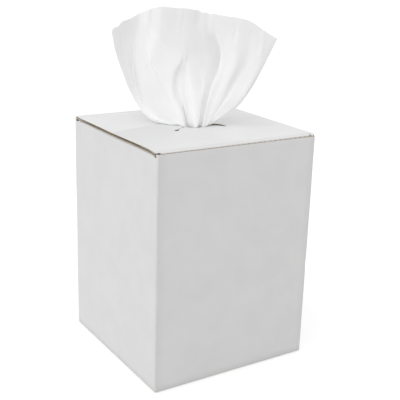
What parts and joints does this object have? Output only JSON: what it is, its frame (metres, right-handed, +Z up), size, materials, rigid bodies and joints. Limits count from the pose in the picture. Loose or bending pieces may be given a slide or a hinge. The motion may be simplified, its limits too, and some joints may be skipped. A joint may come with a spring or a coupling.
{
  "type": "box of industrial wipes",
  "caption": "Tall square corrugated box with a hinged tuck lid; a wipe from the centre-pull roll inside fans out of a slit round hole in the lid.",
  "frame": {"origin": "on the floor under the middle of the carton", "axes": "+X to the right along the front wall, the front wall faces -Y, the lid is hinged at +Y, +Z up"},
  "size_m": [0.1916, 0.19, 0.3786],
  "materials": {
    "white_board": "matte",
    "wipe_cloth": "matte"
  },
  "bodies": {
    "carton_body": {"carton": "white_board", "wipe_roll": "wipe_cloth", "feed_web": "wipe_cloth"},
    "lid_body": {"lid": "white_board", "lead_wipe": "wipe_cloth"}
  },
  "joints": [
    {"name": "lid_hinge", "type": "hinge", "parent": "carton_body", "child": "lid_body", "pos_m": [0, 0.095, 0.251], "axis": [-1, 0, 0], "range_deg": [0, 180]}
  ]
}
